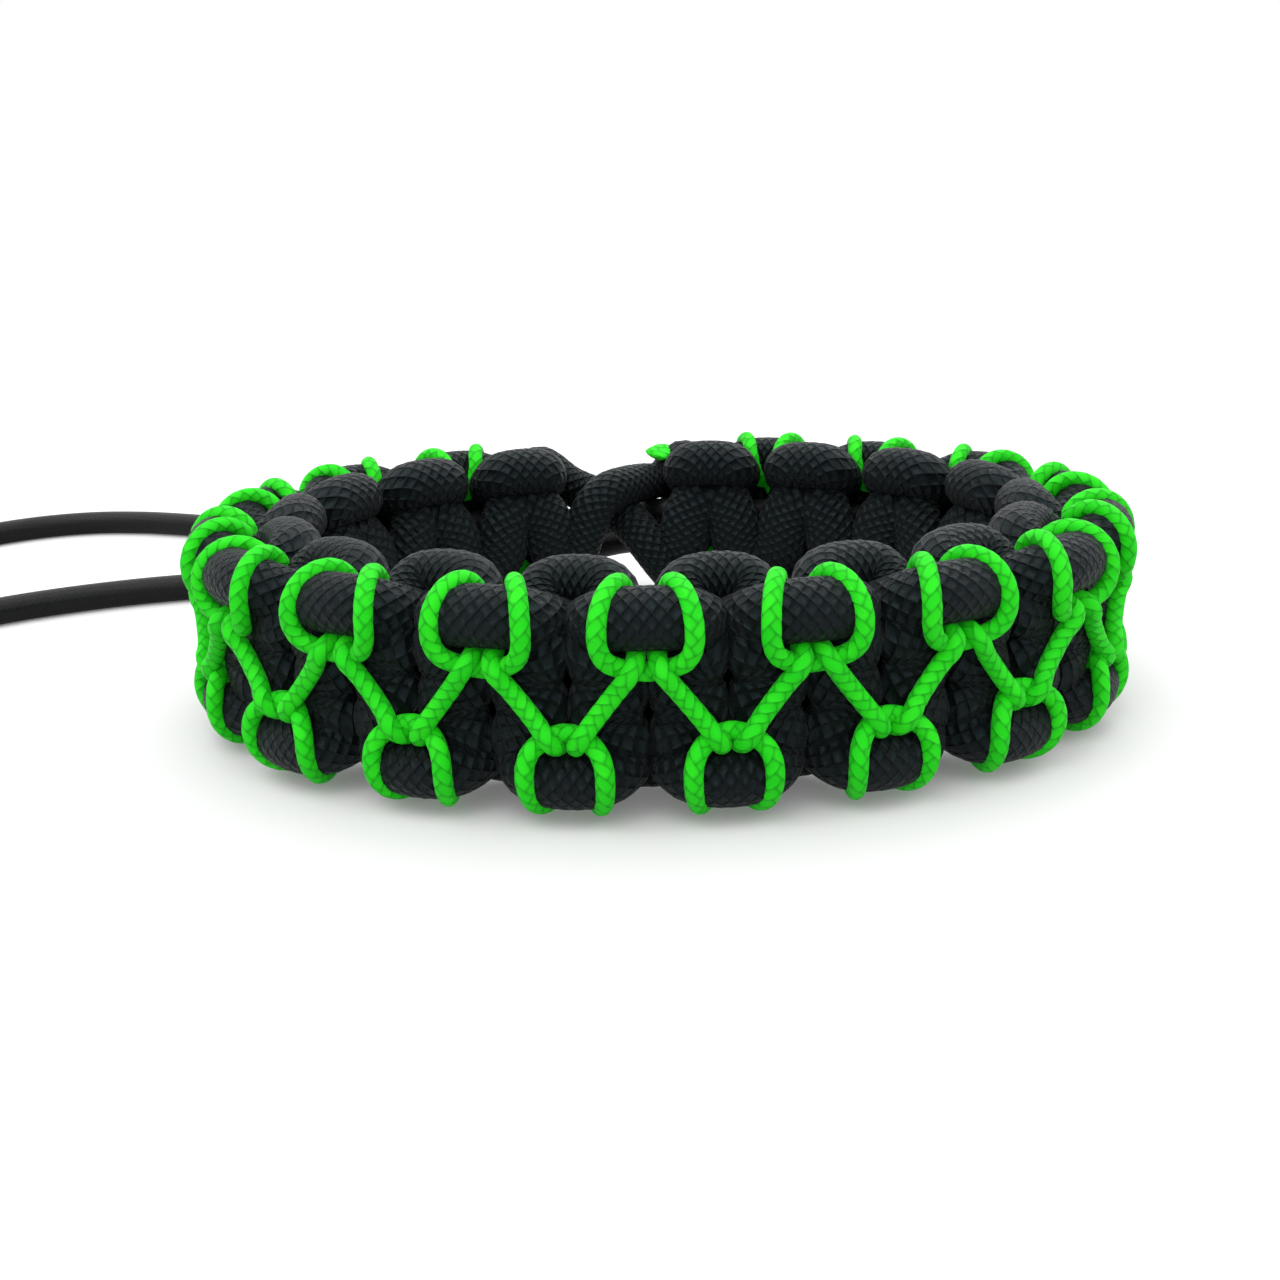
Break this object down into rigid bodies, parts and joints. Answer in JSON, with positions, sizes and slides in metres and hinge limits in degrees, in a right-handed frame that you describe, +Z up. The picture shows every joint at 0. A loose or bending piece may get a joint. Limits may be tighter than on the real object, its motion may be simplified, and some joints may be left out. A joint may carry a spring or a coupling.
{
  "type": "paracord bracelet",
  "caption": "Oval bracelet of black braided cord in flat square knots over two core cords, with a thin neon green lace hitched along both edges, an open crossing at the back and two free tails.",
  "frame": {"origin": "middle of the wrist opening, on the surface that the bracelet lies on", "axes": "+X along the long way across the wrist opening, +Y towards the closure, +Z up, across the band's width"},
  "size_m": [0.1174, 0.0921, 0.0166],
  "materials": {
    "black_paracord": "braided polyester, satin",
    "smooth_black_cord": "tight smooth braid, satin",
    "neon_green_lace": "fine braided polyester, satin, fluorescent green"
  },
  "bodies": {
    "root": {"outer_strand": "black_paracord", "inner_strand": "black_paracord", "upper_core": "smooth_black_cord", "lower_core": "smooth_black_cord", "lace": "neon_green_lace", "upper_tail": "smooth_black_cord", "lower_tail": "smooth_black_cord"}
  },
  "joints": []
}
